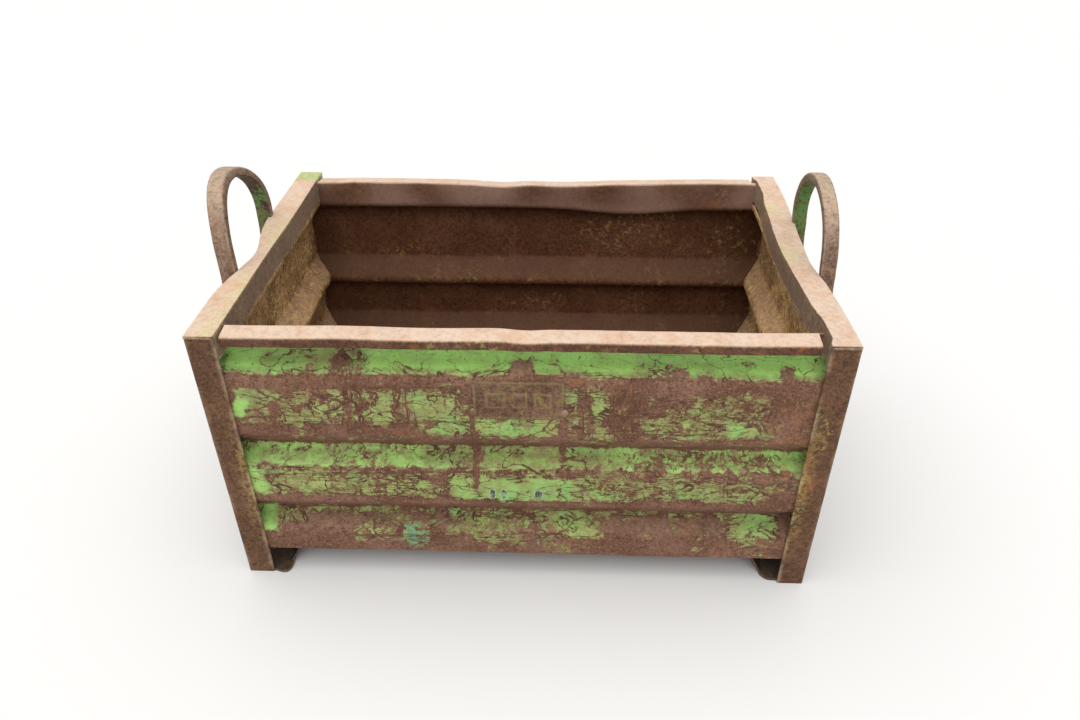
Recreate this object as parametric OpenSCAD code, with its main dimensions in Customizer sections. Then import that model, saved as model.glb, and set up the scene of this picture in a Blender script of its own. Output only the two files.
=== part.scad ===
// Stackable steel crate: four corrugated walls between angle posts, two end rails,
// open foot cups and an upright lifting loop at each end.
// Origin: middle of the footprint at ground level. X runs along the length, Y from
// front to back, Z up. All sizes in millimetres.

/* [Overall] */
// Length over the corner posts
crate_length = 1000; // [800:10:1200]
// Depth over the corner posts
crate_depth = 650; // [500:10:800]
// Height from the ground to the top of the end rails
crate_height = 508; // [430:1:620]

/* [Corner posts] */
// Width of each leg of the post angle
post_leg = 45; // [38:1:60]
// Thickness of the post angle
post_thickness = 5; // [4:0.5:8]
// Rounding along the inner edge of each post leg
post_edge_radius = 2.5; // [0.5:0.5:3.5]

/* [Wall sheets] */
// Thickness of the wall sheets
sheet_thickness = 3; // [2:0.5:4]
// Height of the sheets' bottom edges above the ground
foot_height = 57; // [40:1:80]
// Height of the upper groove's deepest line above the ground
upper_groove_height = 270; // [235:1:285]
// Height of the lower groove's deepest line above the ground
lower_groove_height = 125; // [120:1:150]
// How far each groove is pressed into the wall, measured to its sharp corner
groove_depth = 42; // [30:1:46]
// Height of the groove flank above the deepest line
groove_upper_flank = 48; // [36:1:52]
// Height of the groove flank below the deepest line
groove_lower_flank = 19; // [14:1:24]
// Bend radius at the bottom of a groove, on the middle of the sheet
groove_bend = 9; // [5:0.5:11]
// Bend radius at the mouth of a groove, on the middle of the sheet
shoulder_bend = 7; // [4:0.5:10]
// Height of the plain band between the rim and the first step
band_height = 58; // [50:1:70]
// Height of the sloping step under that band
band_step = 14; // [8:1:22]
// Bend radius above and below that step, on the middle of the sheet
band_bend = 6; // [4:0.5:8]

/* [Rims and rails] */
// Width of each leg of the end rail angle
rail_leg = 45; // [40:1:50]
// Thickness of the end rail angle
rail_thickness = 5; // [4.5:0.5:8]
// How far the long walls' rims lie below the rail tops
rim_below_rail = 3; // [0:0.5:8]
// How far the rim's folded edge sits behind the wall's outer face
rim_set_back = 4; // [0:0.5:12]
// Fall of the rim from its inner to its outer edge
rim_fall = 4.5; // [0:0.5:8]
// Height of the rim's folded edge
rim_lip = 14; // [10:1:24]
// Bend radius of the rim, on the middle of the sheet
rim_bend = 4.5; // [2.5:0.5:6]
// Gap between the end of a rim and the end rail
rim_end_gap = 6; // [2:1:15]
// Number of flats that draw each bend of a sheet
bend_flats = 7; // [3:1:12]

/* [Floor] */
// Thickness of the floor plate
floor_thickness = 4; // [3:0.5:8]

/* [Feet] */
// Width of a foot at the ground, from the outside of the post
foot_width = 75; // [65:1:85]
// Width of a foot where it meets the floor, from the outside of the post
foot_top_width = 97; // [90:1:110]
// Centre of the foot cup's round corner, from the outside of the post
foot_centre = 30; // [25:1:40]
// Where each side of the foot cup starts, from the outside of the post
foot_opening = 22; // [14:1:24]
// Thickness of the foot cup plate
cup_thickness = 4; // [3:0.5:6]
// Thickness of the sole plate
sole_thickness = 5; // [4:0.5:8]
// Radius of the sole's open corners
sole_corner = 20; // [8:1:24]

/* [Lifting loops] */
// Width of a loop over its legs
loop_width = 224; // [180:2:260]
// Height of a loop above the rail
loop_rise = 134; // [110:1:160]
// Width of the loop bar, seen from above
loop_bar_width = 22; // [16:1:30]
// Thickness of the loop bar in the plane of the loop
loop_bar_thickness = 16; // [14:1:22]
// Chamfer along the bar's edges
loop_bar_chamfer = 2.5; // [1:0.5:4]
// Gap between the wall's first step and the top of the weld seams
loop_weld_gap = 10; // [8:1:20]
// Height of the weld seams between legs and wall
loop_weld_height = 32; // [20:1:40]
// How far the legs reach below the weld seams
loop_leg_end = 5; // [2:1:12]
// Side length of the small welds under the rail's edge
rail_weld = 7; // [4:0.5:10]

/* [Name plate] */
// Width of the blank plate on the front wall
plate_width = 142; // [100:1:180]
// Height of the plate
plate_height = 72; // [50:1:80]
// Thickness of the plate
plate_thickness = 2; // [1.5:0.5:4]
// Middle of the plate, left (negative) or right of the crate's middle
plate_offset = -3; // [-60:1:60]
// Gap between the wall's first step and the plate's top edge
plate_gap = 4; // [4:1:12]
// Width of the plate's raised border
plate_border = 5; // [3:0.5:10]
// Depth of the field inside the border
plate_recess = 0.8; // [0.4:0.1:1]
// Radius of the round weld tacks at the plate's lower corners
tack_radius = 7.5; // [5:0.5:9]
// How far the tacks' centres lie behind the wall's outer face
tack_sink = 3; // [1:0.5:4]
// Height of the tacks above the plate's lower edge
tack_height = 12; // [10:1:20]

/* [Hidden] */
$fn = 64;
half_length = crate_length / 2;
half_depth = crate_depth / 2;
// Depths are measured inwards from the outside of the posts
wall_face = post_thickness;
wall_inside = wall_face + sheet_thickness;
wall_middle = wall_face + sheet_thickness / 2;
groove_line = wall_middle + groove_depth;
band_middle = rail_leg - sheet_thickness / 2;
rim_edge = wall_middle + rim_set_back;
// Levels above the ground
rail_underside = crate_height - rail_thickness;
rail_leg_bottom = crate_height - rail_leg;
rim_top = crate_height - rim_below_rail - sheet_thickness / 2;
band_bottom = crate_height - band_height;
wall_zone_top = band_bottom - band_step;
loop_outer = loop_width / 2;
loop_middle = loop_outer - loop_bar_thickness / 2;
loop_centre = crate_height + loop_rise - loop_outer;
loop_weld_top = wall_zone_top - loop_weld_gap;
loop_bottom = loop_weld_top - loop_weld_height - loop_leg_end;
plate_top = wall_zone_top - plate_gap;
plate_bottom = plate_top - plate_height;

rust = [0.40, 0.29, 0.23];
worn_green = [0.47, 0.58, 0.27];
dark_rust = [0.31, 0.22, 0.17];
tan_rust = [0.66, 0.53, 0.43];

// ---- helpers ----

function unit(v) = v / norm(v);
function turned_left(v) = [-v[1], v[0]];
function turn_of(a, b) = atan2(a[0] * b[1] - a[1] * b[0], a[0] * b[0] + a[1] * b[1]);

// Cross-section of a bent sheet. path is the middle of the sheet from edge to edge,
// bends holds one bend radius for each of its inner corners.
module bent_section(path, bends) {
    half = sheet_thickness / 2;
    polygon(concat(
        sheet_side(path, bends, half),
        reversed(sheet_side(path, bends, -half))));
}

function reversed(list) = [for (i = [len(list) - 1:-1:0]) list[i]];

// One side of the sheet, offset to the left of the path, with its bends in short flats
function sheet_side(path, bends, offset) =
    let (
        last = len(path) - 1,
        heading = [for (i = [0:last - 1]) unit(path[i + 1] - path[i])])
    concat(
        [path[0] + offset * turned_left(heading[0])],
        [for (i = [1:last - 1]) each bend_points(path[i], heading[i - 1], heading[i], bends[i - 1], offset)],
        [path[last] + offset * turned_left(heading[last - 1])]);

function bend_points(corner, before, after, radius, offset) =
    let (
        turn = turn_of(before, after),
        side = turn > 0 ? 1 : -1,
        inward = side * turned_left(before),
        centre = corner - radius * tan(abs(turn) / 2) * before + radius * inward,
        first = atan2(-inward[1], -inward[0]),
        reach = radius - side * offset)
    [for (k = [0:bend_flats])
        centre + reach * [cos(first + turn * k / bend_flats), sin(first + turn * k / bend_flats)]];

// The part of the wall section that all four walls share, from the bottom edge up
lower_path = [
    [wall_middle, foot_height],
    [wall_middle, lower_groove_height - groove_lower_flank],
    [groove_line, lower_groove_height],
    [wall_middle, lower_groove_height + groove_upper_flank],
    [wall_middle, upper_groove_height - groove_lower_flank],
    [groove_line, upper_groove_height],
    [wall_middle, upper_groove_height + groove_upper_flank],
    [wall_middle, wall_zone_top],
    [band_middle, band_bottom]];
lower_bends = [shoulder_bend, groove_bend, shoulder_bend, shoulder_bend, groove_bend,
    shoulder_bend, band_bend, band_bend];

module rimmed_section() {
    bent_section(
        concat(lower_path, [
            [band_middle, rim_top],
            [rim_edge, rim_top - rim_fall],
            [rim_edge, rim_top - rim_fall - rim_lip]]),
        concat(lower_bends, [rim_bend, rim_bend]));
}

end_path = concat(lower_path, [[band_middle, rail_leg_bottom]]);

module end_section() {
    bent_section(end_path, lower_bends);
}

// Angle section with its outer corner at the origin and rounded inner edges
module angle_section(leg_a, leg_b, thickness, edge) {
    difference() {
        union() {
            square([leg_a, thickness]);
            square([thickness, leg_b]);
        }
        translate([leg_a - edge, thickness - edge]) round_off(edge);
        translate([thickness - edge, leg_b - edge]) round_off(edge);
    }
}

// Waste left outside a rounded corner of the given radius
module round_off(radius) {
    difference() {
        square(radius + 1);
        circle(r = radius);
    }
}

// Puts something drawn for the front left corner into any corner
module at_corner(right, back) {
    mirror([right ? 1 : 0, 0, 0])
        mirror([0, back ? 1 : 0, 0])
            translate([-half_length, -half_depth, 0])
                children();
}

module at_end(right) {
    mirror([right ? 1 : 0, 0, 0])
        translate([-half_length, 0, 0])
            children();
}

// ---- walls ----

module long_wall(back) {
    mirror([0, back ? 1 : 0, 0])
        difference() {
            translate([-half_length + post_thickness, -half_depth, 0])
                rotate([90, 0, 90])
                    linear_extrude(crate_length - 2 * post_thickness) rimmed_section();
            for (side = [0, 1])
                mirror([side, 0, 0]) {
                    // room for the end rail's leg
                    translate([-half_length, -half_depth, rail_leg_bottom])
                        cube([rail_leg, rail_leg + 1, rail_leg + 1]);
                    // the rim stops short of the rail
                    translate([-half_length, -half_depth, rim_top - rim_fall - rim_lip - 1])
                        cube([rail_leg + rim_end_gap, rail_leg - sheet_thickness, rim_fall + rim_lip + 10]);
                }
        }
}

// Everything on the outer side of a long wall's inner surface, up to the end rail's leg
module outside_of_long_wall(back) {
    mirror([0, back ? 1 : 0, 0])
        translate([-half_length, -half_depth, 0])
            rotate([90, 0, 90])
                linear_extrude(crate_length)
                    polygon(concat([[-1, foot_height]],
                        sheet_side(end_path, lower_bends, -sheet_thickness / 2),
                        [[-1, rail_leg_bottom]]));
}

module end_wall(right) {
    at_end(right)
        difference() {
            translate([0, half_depth - wall_face, 0])
                rotate([90, 0, 0])
                    linear_extrude(crate_depth - 2 * wall_face) end_section();
            for (back = [false, true])
                translate([half_length, 0, 0]) outside_of_long_wall(back);
        }
}

module front_wall() { color(worn_green) long_wall(false); }
module back_wall() { color(worn_green) long_wall(true); }
module left_wall() { color(rust) end_wall(false); }
module right_wall() { color(rust) end_wall(true); }

module floor_plate() {
    color(dark_rust)
        translate([-half_length + wall_inside, -half_depth + wall_inside, foot_height])
            cube([crate_length - 2 * wall_inside, crate_depth - 2 * wall_inside, floor_thickness]);
}

// ---- frame ----

module post(right, back) {
    color(rust)
        at_corner(right, back)
            linear_extrude(rail_underside)
                angle_section(post_leg, post_leg, post_thickness, post_edge_radius);
}

module post_front_left() { post(false, false); }
module post_front_right() { post(true, false); }
module post_back_left() { post(false, true); }
module post_back_right() { post(true, true); }

module rail(right) {
    color(tan_rust)
        at_end(right) {
            translate([0, -half_depth, rail_underside])
                cube([rail_leg, crate_depth, rail_thickness]);
            // inner leg, notched to pass between the posts' front legs
            difference() {
                translate([rail_leg - rail_thickness, -half_depth + post_thickness, rail_leg_bottom])
                    cube([rail_thickness, crate_depth - 2 * post_thickness, rail_leg - rail_thickness]);
                translate([rail_leg - sheet_thickness, half_depth, rail_leg_bottom])
                    rotate([90, 0, 0])
                        linear_extrude(crate_depth)
                            translate([0, rail_thickness - sheet_thickness])
                                mirror([1, 0]) mirror([0, 1])
                                    round_off(rail_thickness - sheet_thickness);
            }
        }
}

module rail_left() { rail(false); }
module rail_right() { rail(true); }

// ---- feet ----

module foot_cup(right, back) {
    outer_low = foot_width - foot_centre;
    outer_high = foot_top_width - foot_centre;
    flank = [[outer_low - cup_thickness, sole_thickness], [outer_low, sole_thickness],
        [outer_high, foot_height], [outer_high - cup_thickness, foot_height]];
    color(dark_rust)
        at_corner(right, back)
            translate([foot_centre, foot_centre, 0]) {
                rotate_extrude(angle = 90) polygon(flank);
                rotate([90, 0, 0])
                    linear_extrude(foot_centre - foot_opening) polygon(flank);
                mirror([1, -1, 0])
                    rotate([90, 0, 0])
                        linear_extrude(foot_centre - foot_opening) polygon(flank);
            }
}

module foot_cup_front_left() { foot_cup(false, false); }
module foot_cup_front_right() { foot_cup(true, false); }
module foot_cup_back_left() { foot_cup(false, true); }
module foot_cup_back_right() { foot_cup(true, true); }

module foot_sole(right, back) {
    inner_corner = foot_width - foot_centre;
    color(dark_rust)
        at_corner(right, back)
            linear_extrude(sole_thickness)
                difference() {
                    translate([post_thickness, post_thickness])
                        square(foot_width - post_thickness);
                    translate([foot_centre, foot_centre]) round_off(inner_corner);
                    translate([foot_width - sole_corner, post_thickness + sole_corner])
                        mirror([0, 1]) round_off(sole_corner);
                    translate([post_thickness + sole_corner, foot_width - sole_corner])
                        mirror([1, 0]) round_off(sole_corner);
                }
}

module foot_sole_front_left() { foot_sole(false, false); }
module foot_sole_front_right() { foot_sole(true, false); }
module foot_sole_back_left() { foot_sole(false, true); }
module foot_sole_back_right() { foot_sole(true, true); }

// ---- lifting loops ----

// Bar section centred on the origin, its thickness along x and its width along y
module bar_section() {
    a = loop_bar_thickness / 2;
    b = loop_bar_width / 2;
    c = loop_bar_chamfer;
    polygon([[a - c, -b], [a, -b + c], [a, b - c], [a - c, b],
        [c - a, b], [-a, b - c], [-a, c - b], [c - a, -b]]);
}

module loop(right) {
    color(rust)
        at_end(right)
            translate([-loop_bar_width / 2, 0, 0]) {
                translate([0, 0, loop_centre])
                    rotate([90, 0, 90])
                        rotate_extrude(angle = 180)
                            translate([loop_middle, 0]) bar_section();
                for (side = [-1, 1])
                    translate([0, side * loop_middle, loop_bottom])
                        rotate(90)
                            linear_extrude(loop_centre - loop_bottom) bar_section();
            }
}

module loop_left() { loop(false); }
module loop_right() { loop(true); }

module loop_welds(right) {
    flat_face = loop_bar_thickness / 2 - loop_bar_chamfer;
    color(rust)
        at_end(right)
            for (side = [-1, 1])
                translate([0, side * loop_middle, 0]) {
                    // seam between the leg and the wall
                    translate([0, 0, loop_weld_top - loop_weld_height])
                        linear_extrude(loop_weld_height)
                            polygon([[0, -flat_face], [wall_face, -flat_face - 3],
                                [wall_face, flat_face + 3], [0, flat_face]]);
                    // small weld under the rail's edge, so that its top stays clear for stacking
                    translate([0, flat_face, rail_underside])
                        rotate([90, 0, 0])
                            linear_extrude(2 * flat_face)
                                polygon([[0, 0], [0, -rail_weld], [rail_weld, 0]]);
                }
}

module loop_welds_left() { loop_welds(false); }
module loop_welds_right() { loop_welds(true); }

// ---- name plate ----

module name_plate() {
    color(rust)
        translate([plate_offset - plate_width / 2, -half_depth + wall_face - plate_thickness, plate_bottom])
            difference() {
                cube([plate_width, plate_thickness, plate_height]);
                translate([plate_border, -1, plate_border])
                    cube([plate_width - 2 * plate_border, 1 + plate_recess, plate_height - 2 * plate_border]);
            }
}

module plate_tacks() {
    color(dark_rust)
        for (side = [-1, 1])
            difference() {
                translate([plate_offset + side * plate_width / 2, -half_depth + wall_face, plate_bottom + tack_height])
                    intersection() {
                        translate([0, tack_sink, 0]) sphere(r = tack_radius);
                        translate([-tack_radius, -tack_radius, -tack_radius])
                            cube([2 * tack_radius, tack_radius, 2 * tack_radius]);
                    }
                translate([plate_offset - plate_width / 2, -half_depth + wall_face - plate_thickness, plate_bottom])
                    cube([plate_width, plate_thickness + 1, plate_height]);
            }
}

// ---- output ----

front_wall();
back_wall();
left_wall();
right_wall();
floor_plate();
post_front_left();
post_front_right();
post_back_left();
post_back_right();
rail_left();
rail_right();
foot_cup_front_left();
foot_cup_front_right();
foot_cup_back_left();
foot_cup_back_right();
foot_sole_front_left();
foot_sole_front_right();
foot_sole_back_left();
foot_sole_back_right();
loop_left();
loop_right();
loop_welds_left();
loop_welds_right();
name_plate();
plate_tacks();
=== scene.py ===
import math
import bmesh
import bpy
from mathutils import Matrix, Vector, noise


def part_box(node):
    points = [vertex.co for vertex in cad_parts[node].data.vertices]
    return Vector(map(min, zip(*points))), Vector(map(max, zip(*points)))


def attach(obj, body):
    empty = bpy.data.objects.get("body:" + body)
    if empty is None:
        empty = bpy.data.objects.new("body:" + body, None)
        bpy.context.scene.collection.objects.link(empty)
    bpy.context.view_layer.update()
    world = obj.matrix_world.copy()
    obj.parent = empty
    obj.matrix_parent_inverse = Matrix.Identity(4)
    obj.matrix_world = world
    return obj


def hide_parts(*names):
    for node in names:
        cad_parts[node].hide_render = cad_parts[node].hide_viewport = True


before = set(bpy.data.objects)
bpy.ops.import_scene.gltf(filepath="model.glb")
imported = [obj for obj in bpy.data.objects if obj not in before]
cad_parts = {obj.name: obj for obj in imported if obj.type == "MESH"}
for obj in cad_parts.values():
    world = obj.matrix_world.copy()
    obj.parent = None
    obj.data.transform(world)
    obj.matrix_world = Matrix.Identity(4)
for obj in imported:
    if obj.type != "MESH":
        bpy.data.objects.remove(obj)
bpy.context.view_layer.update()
print("frame loaded")

mm = 0.001
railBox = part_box("rail_left")
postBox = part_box("post_front_left")
halfLength = -postBox[0][0]
halfDepth = -postBox[0][1]
railTop = railBox[1][2]
railWidth = railBox[1][0] - railBox[0][0]
postTop = postBox[1][2]
postThickness = 5.0 * mm
postCorners = [(right, back, ("back_" if back else "front_") + ("right" if right else "left"))
               for right in (False, True) for back in (False, True)]


# camera

cameraSettings = {
    "place": (0.0648, -1.3381, 1.1661),
    "turn": 1.93,        # degrees to the left of straight ahead
    "tilt": 34.25,       # degrees below the horizon
    "roll": 0.15,
    "lens": 27.52,
}


def makeCamera(s):
    data = bpy.data.cameras.new("camera")
    data.lens = s["lens"]
    data.sensor_width = 36.0
    data.clip_start = 0.01
    cam = bpy.data.objects.new("camera", data)
    bpy.context.scene.collection.objects.link(cam)
    turn = math.radians(s["turn"])
    tilt = math.radians(s["tilt"])
    roll = math.radians(s["roll"])
    ahead = Vector((-math.sin(turn) * math.cos(tilt), math.cos(turn) * math.cos(tilt), -math.sin(tilt)))
    right = Vector((math.cos(turn), math.sin(turn), 0.0))
    up = right.cross(ahead)
    right2 = right * math.cos(roll) - up * math.sin(roll)
    up2 = right * math.sin(roll) + up * math.cos(roll)
    m = Matrix.Identity(4)
    for i in range(3):
        m[i][0] = right2[i]
        m[i][1] = up2[i]
        m[i][2] = -ahead[i]
        m[i][3] = s["place"][i]
    cam.matrix_world = m
    bpy.context.scene.camera = cam


makeCamera(cameraSettings)


# light, floor and background

studio = {
    "skyColour": (0.95, 0.97, 1.0),
    "skyStrength": 0.56,
    "topColour": (1.0, 0.985, 0.96),      # soft light from above
    "topStrength": 2.5,
    "topSpread": 90.0,
    "topTurn": (9.0, -7.0, 0.0),
    "frontColour": (1.0, 0.98, 0.95),     # weaker light from the front
    "frontStrength": 0.40,
    "frontSpread": 40.0,
    "frontTurn": (52.0, 0.0, 14.0),
    "floorColour": (0.74, 0.735, 0.725),
    "floorRoughness": 0.9,
    "floorGloss": 0.2,
    "floorReach": 40.0,                   # from the middle to each edge, in metres
}


def addSun(name, s):
    data = bpy.data.lights.new(name + "_light", "SUN")
    data.energy = s[name + "Strength"]
    data.angle = math.radians(s[name + "Spread"])
    data.color = s[name + "Colour"]
    lamp = bpy.data.objects.new(name + "_light", data)
    bpy.context.scene.collection.objects.link(lamp)
    lamp.rotation_euler = [math.radians(a) for a in s[name + "Turn"]]


def makeStudio(s):
    scene = bpy.context.scene
    world = bpy.data.worlds.new("sky")
    world.use_nodes = True
    back = world.node_tree.nodes["Background"]
    back.inputs["Color"].default_value = (*s["skyColour"], 1.0)
    back.inputs["Strength"].default_value = s["skyStrength"]
    scene.world = world
    addSun("top", s)
    addSun("front", s)
    scene.view_settings.view_transform = "Standard"
    scene.view_settings.look = "None"
    mesh = bpy.data.meshes.new("studio_floor")
    r = s["floorReach"]
    mesh.from_pydata([(-r, -r, 0), (r, -r, 0), (r, r, 0), (-r, r, 0)], [], [(0, 1, 2, 3)])
    floor = bpy.data.objects.new("studio_floor", mesh)
    scene.collection.objects.link(floor)
    mat = bpy.data.materials.new("studio_floor")
    mat.use_nodes = True
    shader = mat.node_tree.nodes["Principled BSDF"]
    shader.inputs["Base Color"].default_value = (*s["floorColour"], 1.0)
    shader.inputs["Roughness"].default_value = s["floorRoughness"]
    shader.inputs["Specular IOR Level"].default_value = s["floorGloss"]
    mesh.materials.append(mat)


makeStudio(studio)
print("camera and light ready")


# node helpers

class NodeValue:
    # what one node hands to the next; numbers can be added, subtracted and multiplied
    def __init__(self, tree, socket):
        self.tree = tree
        self.socket = socket

    def __add__(self, other):
        return calc("ADD", self, other)

    def __sub__(self, other):
        return calc("SUBTRACT", self, other)

    def __rsub__(self, other):
        return calc("SUBTRACT", other, self)

    def __mul__(self, other):
        return calc("MULTIPLY", self, other)


def addNode(tree, kind, **settings):
    n = tree.nodes.new(kind)
    for key, value in settings.items():
        setattr(n, key, value)
    return n


def feed(socket, value):
    if isinstance(value, NodeValue):
        value.tree.links.new(value.socket, socket)
    elif isinstance(value, (tuple, list)) and len(value) == 3 and socket.type == "RGBA":
        socket.default_value = (*value, 1.0)
    else:
        socket.default_value = value


def calc(operation, a, b=0.0):
    tree = (a if isinstance(a, NodeValue) else b).tree
    n = addNode(tree, "ShaderNodeMath", operation=operation)
    feed(n.inputs[0], a)
    feed(n.inputs[1], b)
    return NodeValue(tree, n.outputs[0])


def larger(a, b):
    return calc("MAXIMUM", a, b)


def limited(value):
    # kept between 0 and 1
    value.socket.node.use_clamp = True
    return value


def spread(value, low, high, toLow=0.0, toHigh=1.0):
    # the range from low to high becomes toLow to toHigh
    n = addNode(value.tree, "ShaderNodeMapRange", interpolation_type="SMOOTHSTEP")
    feed(n.inputs["Value"], value)
    for key, number in (("From Min", low), ("From Max", high), ("To Min", toLow), ("To Max", toHigh)):
        n.inputs[key].default_value = number
    return NodeValue(value.tree, n.outputs["Result"])


def blendColour(factor, a, b):
    n = addNode(factor.tree, "ShaderNodeMix", data_type="RGBA", blend_type="MIX")
    feed(n.inputs[0], factor)
    feed(n.inputs[6], a)
    feed(n.inputs[7], b)
    return NodeValue(factor.tree, n.outputs[2])


def stretched(coords, factors):
    n = addNode(coords.tree, "ShaderNodeVectorMath", operation="MULTIPLY")
    feed(n.inputs[0], coords)
    n.inputs[1].default_value = factors
    return NodeValue(coords.tree, n.outputs[0])


def grain(coords, scale, detail=4.0, rough=0.55, twist=0.0):
    n = addNode(coords.tree, "ShaderNodeTexNoise")
    feed(n.inputs["Vector"], coords)
    for key, number in (("Scale", scale), ("Detail", detail), ("Roughness", rough), ("Distortion", twist)):
        n.inputs[key].default_value = number
    return NodeValue(coords.tree, n.outputs["Fac"])


def stretchedGrain(coords, factors, detail, rough, twist=0.0):
    return grain(stretched(coords, factors), 1.0, detail, rough, twist)


def attributeOf(tree, name):
    return NodeValue(tree, addNode(tree, "ShaderNodeAttribute", attribute_name=name).outputs["Fac"])


def cracksAt(coords, factors, scale, width):
    # the borders of irregular cells
    tree = coords.tree
    coords = stretched(coords, factors)
    wander = addNode(tree, "ShaderNodeTexNoise")
    feed(wander.inputs["Vector"], coords)
    wander.inputs["Scale"].default_value = scale * 0.8
    wander.inputs["Detail"].default_value = 3.0
    shifted = addNode(tree, "ShaderNodeVectorMath", operation="MULTIPLY_ADD")
    tree.links.new(wander.outputs["Color"], shifted.inputs[0])
    shifted.inputs[1].default_value = (0.048, 0.048, 0.048)
    feed(shifted.inputs[2], coords)
    cells = addNode(tree, "ShaderNodeTexVoronoi", feature="DISTANCE_TO_EDGE")
    tree.links.new(shifted.outputs[0], cells.inputs["Vector"])
    cells.inputs["Scale"].default_value = scale
    return spread(NodeValue(tree, cells.outputs["Distance"]), width * 0.4, width, 1.0, 0.0)


def contour(value, level, width):
    # thin curved lines where a value crosses a level
    return spread(calc("ABSOLUTE", value - level), width * 0.4, width, 1.0, 0.0)


# finishes

rustTones = {
    "deep": (0.060, 0.026, 0.015),
    "brown": (0.158, 0.074, 0.044),
    "rosy": (0.245, 0.128, 0.086),
    "ochre": (0.370, 0.245, 0.075),
    "orange": (0.360, 0.130, 0.038),
    "dustAndLight": (0.600, 0.450, 0.315),
    "green": (0.245, 0.530, 0.135),
    "brightGreenWithPaintedLight": (0.400, 0.760, 0.180),
    "yellowGreen": (0.370, 0.460, 0.130),
    "olive": (0.265, 0.250, 0.080),
    "stained": (0.205, 0.120, 0.066),
    "teal": (0.150, 0.300, 0.160),
    "lichen": (0.60, 0.52, 0.27),
    "scuffed": (0.46, 0.52, 0.24),
    "oldRim": (0.38, 0.26, 0.085),        # round an old chip
    "freshRim": (0.50, 0.42, 0.26),       # round a chip in bright paint
    "palePaint": (0.42, 0.48, 0.36),
    "darkPaint": (0.022, 0.034, 0.026),
}


# what a rust finish is unless a piece's own dictionary says otherwise
plainRust = {
    "dark": rustTones["brown"], "light": rustTones["rosy"], "grainScale": 300.0, "orangeAmount": 0.35,
    "fleckAmount": 0.8, "fleckStart": 0.52, "fleckColour": rustTones["ochre"], "fleckHere": False,
    "dustAndLightAmount": 0.5, "dustAndLightStart": 0.45, "dustAndLightMottle": 0.45, "dustAndLightTint": 0.35,
    "dustAndLightColour": rustTones["dustAndLight"], "dustAndLightAlt": (0.62, 0.37, 0.19),
    "edges": False, "edgeAmount": 0.6, "bandHighlightColour": None,
    "paint": 0.0, "paintA": rustTones["olive"], "paintB": rustTones["green"], "bump": 0.7, "gloss": 0.25,
}


def rustLayer(coords, s):
    # brown rust: blotches, pits, orange and ochre flecks; upper faces pale, rubbed and dusty and with painted
    # light from above
    tree = coords.tree
    light = s["light"]
    deep = tuple(0.42 * c for c in s["dark"])
    fine = grain(coords, s["grainScale"], 4.0, 0.75)
    speck = grain(coords, 110.0, 6.0, 0.78, 0.3)
    colour = blendColour(spread(grain(coords, 9.0, 6.0, 0.62, 0.4), 0.36, 0.66), s["dark"], light)
    for (spots, start, end, amount, tone) in (
            (speck, 0.50, 0.64, 0.80, deep), (speck, 0.46, 0.36, 0.55, tuple(1.45 * c for c in light)),
            (fine, 0.50, 0.62, 0.72, deep), (fine, 0.47, 0.36, 0.50, tuple(1.35 * c for c in light))):
        colour = blendColour(spread(spots, start, end, 0.0, amount), colour, tone)
    orange = spread(grain(coords, 17.0, 5.0, 0.6, 1.0), 0.58, 0.72, 0.0, s["orangeAmount"])
    colour = blendColour(orange, colour, rustTones["orange"])
    fleck = spread(grain(coords, 85.0, 6.0, 0.75, 0.5), 0.53, 0.60)
    fleck = fleck * spread(grain(coords, 8.0, 3.0, 0.6), s["fleckStart"], 0.66)
    if s["fleckHere"]:
        small = spread(grain(coords, 120.0, 6.0, 0.78, 0.5), 0.46, 0.56)
        fleck = larger(fleck, attributeOf(tree, "flecks") * small)
    colour = blendColour(fleck * s["fleckAmount"], colour, s["fleckColour"])
    # faces that look upwards take the pale tone: dust, and painted light from above; worn edges take it too
    facing = addNode(tree, "ShaderNodeSeparateXYZ")
    tree.links.new(addNode(tree, "ShaderNodeNewGeometry").outputs["Normal"], facing.inputs[0])
    dustLightAndWear = spread(NodeValue(tree, facing.outputs["Z"]), s["dustAndLightStart"], 0.95, 0.0, s["dustAndLightAmount"])
    if s["edges"]:
        dustLightAndWear = larger(dustLightAndWear, attributeOf(tree, "edge") * s["edgeAmount"])
    mottle = spread(speck, 0.40, 0.66, 1.0, s["dustAndLightMottle"])
    tint = grain(coords, 22.0, 5.0, 0.65, 0.6)
    dustAndLightTone = blendColour(spread(tint, 0.42, 0.66, 0.0, s["dustAndLightTint"]), s["dustAndLightColour"], s["dustAndLightAlt"])
    if s["fleckHere"]:
        lichen = attributeOf(tree, "flecks") * spread(tint, 0.58, 0.44, 0.30, 0.85)
        dustAndLightTone = blendColour(lichen, dustAndLightTone, rustTones["lichen"])
    colour = blendColour(dustLightAndWear * mottle, colour, dustAndLightTone)
    # painted highlight: the band below the rim, marked on the inside of a wall, is painted lighter
    if s["bandHighlightColour"]:
        colour = blendColour(attributeOf(tree, "edge") * mottle * s["edgeAmount"], colour, s["bandHighlightColour"])
    return colour, speck * 0.7 + fine * 0.3, fine


def startMaterial(name):
    mat = bpy.data.materials.new(name)
    mat.use_nodes = True
    tree = mat.node_tree
    return mat, tree, NodeValue(tree, addNode(tree, "ShaderNodeTexCoord").outputs["Object"])


def finishShader(tree, colour, height, roughness, bumpStrength, bumpDistance, gloss):
    shader = tree.nodes["Principled BSDF"]
    feed(shader.inputs["Base Color"], colour)
    feed(shader.inputs["Roughness"], roughness)
    shader.inputs["Specular IOR Level"].default_value = gloss
    bump = addNode(tree, "ShaderNodeBump")
    bump.inputs["Strength"].default_value = bumpStrength
    bump.inputs["Distance"].default_value = bumpDistance
    feed(bump.inputs["Height"], height)
    tree.links.new(bump.outputs["Normal"], shader.inputs["Normal"])


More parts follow.
